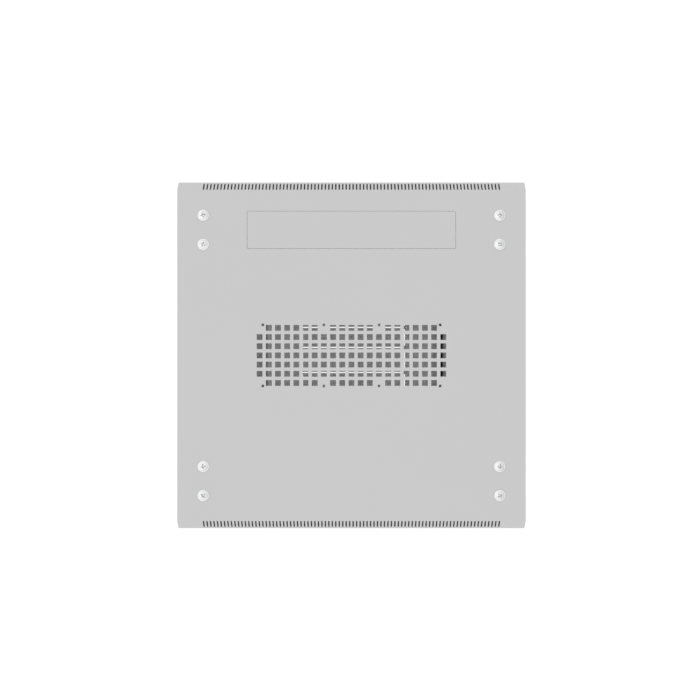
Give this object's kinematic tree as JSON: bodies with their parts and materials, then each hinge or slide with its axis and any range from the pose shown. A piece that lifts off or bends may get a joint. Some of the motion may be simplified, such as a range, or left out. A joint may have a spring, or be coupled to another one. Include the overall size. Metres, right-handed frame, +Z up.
{
  "type": "server rack cabinet",
  "caption": "Free-standing nineteen-inch network cabinet with a glass front door, steel rear door, vented roof, lift-off side panels, mounting rails, levelling feet and casters.",
  "frame": {"origin": "on the floor under the middle of the cabinet's footprint", "axes": "+Z up, +Y towards the rear door, +X towards the side where the front door has its handle"},
  "size_m": [0.6, 0.6, 2.0539],
  "materials": {
    "powder_coat": "light grey textured powder coat",
    "zinc_plate": "bright zinc-plated steel",
    "bright_fastener": "bright zinc-plated fasteners",
    "tinted_glass": "toughened, lightly tinted",
    "seal_rubber": "black rubber strip",
    "black_plastic": "black moulded nylon, fine grain",
    "lock_chrome": "satin chrome",
    "wheel_plastic": "dark grey nylon wheel"
  },
  "bodies": {
    "cabinet": {"top_panel": "powder_coat", "cover_screws": "bright_fastener", "cable_entry_ledge": "powder_coat", "base_panel": "powder_coat", "post_front_left": "powder_coat", "post_front_right": "powder_coat", "post_rear_left": "powder_coat", "post_rear_right": "powder_coat", "mounting_rail_front_left": "zinc_plate", "mounting_rail_front_right": "zinc_plate", "mounting_rail_rear_left": "zinc_plate", "mounting_rail_rear_right": "zinc_plate", "cross_beam_front_bottom": "powder_coat", "cross_beam_front_top": "powder_coat", "cross_beam_rear_bottom": "powder_coat", "cross_beam_rear_top": "powder_coat", "depth_beams_left": "powder_coat", "depth_beams_right": "powder_coat", "rail_brackets": "zinc_plate", "rail_bolts": "bright_fastener", "corner_gussets": "powder_coat", "weld_nuts": "bright_fastener", "hinge_brackets": "powder_coat", "latch_keepers": "powder_coat", "earth_studs": "bright_fastener", "caster_plates": "zinc_plate"},
    "cable_entry_cover": {"top_cable_entry_cover": "powder_coat"},
    "front_door": {"front_door_frame": "powder_coat", "front_door_glass": "tinted_glass", "front_door_glass_seal": "seal_rubber", "front_door_glass_clips": "zinc_plate", "front_door_hinge_pins": "bright_fastener", "front_handle_base": "black_plastic"},
    "front_handle_spindle": {"front_handle_spindle": "lock_chrome", "front_handle_cam": "zinc_plate"},
    "front_handle_lever": {"front_handle_lever": "black_plastic"},
    "front_key_cylinder": {"front_key_cylinder": "lock_chrome"},
    "rear_door": {"rear_door_panel": "powder_coat", "rear_door_hinge_pins": "bright_fastener", "rear_lock_body": "lock_chrome"},
    "rear_lock_cylinder": {"rear_lock_cylinder": "lock_chrome", "rear_lock_cam": "zinc_plate"},
    "side_panel_left": {"side_panel_left": "powder_coat"},
    "side_panel_right": {"side_panel_right": "powder_coat"},
    "side_latch_left_front": {"side_latch_left_front": "black_plastic"},
    "side_latch_left_rear": {"side_latch_left_rear": "black_plastic"},
    "side_latch_right_front": {"side_latch_right_front": "black_plastic"},
    "side_latch_right_rear": {"side_latch_right_rear": "black_plastic"},
    "levelling_foot_front_left": {"levelling_foot_front_left": "zinc_plate"},
    "caster_fork_front_left": {"caster_fork_front_left": "zinc_plate"},
    "caster_wheel_front_left": {"caster_wheel_front_left": "wheel_plastic"},
    "levelling_foot_front_right": {"levelling_foot_front_right": "zinc_plate"},
    "caster_fork_front_right": {"caster_fork_front_right": "zinc_plate"},
    "caster_wheel_front_right": {"caster_wheel_front_right": "wheel_plastic"},
    "levelling_foot_rear_left": {"levelling_foot_rear_left": "zinc_plate"},
    "caster_fork_rear_left": {"caster_fork_rear_left": "zinc_plate"},
    "caster_wheel_rear_left": {"caster_wheel_rear_left": "wheel_plastic"},
    "levelling_foot_rear_right": {"levelling_foot_rear_right": "zinc_plate"},
    "caster_fork_rear_right": {"caster_fork_rear_right": "zinc_plate"},
    "caster_wheel_rear_right": {"caster_wheel_rear_right": "wheel_plastic"}
  },
  "joints": [
    {"name": "cable_entry_cover_lift", "type": "slide", "parent": "cabinet", "child": "cable_entry_cover", "axis": [0, 0, 1], "range_m": [0, 0.15]},
    {"name": "front_door_hinge", "type": "hinge", "parent": "cabinet", "child": "front_door", "pos_m": [-0.288, -0.281, 1.048], "axis": [0, 0, -1], "range_deg": [0, 130]},
    {"name": "front_handle_turn", "type": "hinge", "parent": "front_door", "child": "front_handle_spindle", "pos_m": [0.258, -0.29, 1.085], "axis": [0, 1, 0], "range_deg": [0, 90]},
    {"name": "front_handle_lift", "type": "hinge", "parent": "front_handle_spindle", "child": "front_handle_lever", "pos_m": [0.258, -0.2965, 1.085], "axis": [-1, 0, 0], "range_deg": [0, 60]},
    {"name": "front_key_turn", "type": "hinge", "parent": "front_door", "child": "front_key_cylinder", "pos_m": [0.258, -0.29, 0.929], "axis": [0, 1, 0], "range_deg": [0, 90]},
    {"name": "rear_door_hinge", "type": "hinge", "parent": "cabinet", "child": "rear_door", "pos_m": [0.288, 0.281, 1.048], "axis": [0, 0, -1], "range_deg": [0, 120]},
    {"name": "rear_lock_turn", "type": "hinge", "parent": "rear_door", "child": "rear_lock_cylinder", "pos_m": [-0.262, 0.29, 1.085], "axis": [0, -1, 0], "range_deg": [0, 90]},
    {"name": "side_panel_left_off", "type": "slide", "parent": "cabinet", "child": "side_panel_left", "axis": [-1, 0, 0], "range_m": [0, 0.2]},
    {"name": "side_panel_right_off", "type": "slide", "parent": "cabinet", "child": "side_panel_right", "axis": [1, 0, 0], "range_m": [0, 0.2]},
    {"name": "side_latch_left_front_slide", "type": "slide", "parent": "side_panel_left", "child": "side_latch_left_front", "axis": [0, 0, -1], "range_m": [0, 0.01]},
    {"name": "side_latch_left_rear_slide", "type": "slide", "parent": "side_panel_left", "child": "side_latch_left_rear", "axis": [0, 0, -1], "range_m": [0, 0.01]},
    {"name": "side_latch_right_front_slide", "type": "slide", "parent": "side_panel_right", "child": "side_latch_right_front", "axis": [0, 0, -1], "range_m": [0, 0.01]},
    {"name": "side_latch_right_rear_slide", "type": "slide", "parent": "side_panel_right", "child": "side_latch_right_rear", "axis": [0, 0, -1], "range_m": [0, 0.01]},
    {"name": "levelling_foot_front_left_height", "type": "slide", "parent": "cabinet", "child": "levelling_foot_front_left", "axis": [0, 0, 1], "range_m": [-0.02, 0]},
    {"name": "caster_front_left_swivel", "type": "hinge", "parent": "cabinet", "child": "caster_fork_front_left", "pos_m": [-0.188, -0.2, 0.06], "axis": [0, 0, 1], "continuous": true},
    {"name": "caster_front_left_roll", "type": "hinge", "parent": "caster_fork_front_left", "child": "caster_wheel_front_left", "pos_m": [-0.188, -0.218, 0.029], "axis": [1, 0, 0], "continuous": true},
    {"name": "levelling_foot_front_right_height", "type": "slide", "parent": "cabinet", "child": "levelling_foot_front_right", "axis": [0, 0, 1], "range_m": [-0.02, 0]},
    {"name": "caster_front_right_swivel", "type": "hinge", "parent": "cabinet", "child": "caster_fork_front_right", "pos_m": [0.188, -0.2, 0.06], "axis": [0, 0, 1], "continuous": true},
    {"name": "caster_front_right_roll", "type": "hinge", "parent": "caster_fork_front_right", "child": "caster_wheel_front_right", "pos_m": [0.188, -0.218, 0.029], "axis": [1, 0, 0], "continuous": true},
    {"name": "levelling_foot_rear_left_height", "type": "slide", "parent": "cabinet", "child": "levelling_foot_rear_left", "axis": [0, 0, 1], "range_m": [-0.02, 0]},
    {"name": "caster_rear_left_swivel", "type": "hinge", "parent": "cabinet", "child": "caster_fork_rear_left", "pos_m": [-0.188, 0.2, 0.06], "axis": [0, 0, 1], "continuous": true},
    {"name": "caster_rear_left_roll", "type": "hinge", "parent": "caster_fork_rear_left", "child": "caster_wheel_rear_left", "pos_m": [-0.188, 0.182, 0.029], "axis": [1, 0, 0], "continuous": true},
    {"name": "levelling_foot_rear_right_height", "type": "slide", "parent": "cabinet", "child": "levelling_foot_rear_right", "axis": [0, 0, 1], "range_m": [-0.02, 0]},
    {"name": "caster_rear_right_swivel", "type": "hinge", "parent": "cabinet", "child": "caster_fork_rear_right", "pos_m": [0.188, 0.2, 0.06], "axis": [0, 0, 1], "continuous": true},
    {"name": "caster_rear_right_roll", "type": "hinge", "parent": "caster_fork_rear_right", "child": "caster_wheel_rear_right", "pos_m": [0.188, 0.182, 0.029], "axis": [1, 0, 0], "continuous": true}
  ]
}
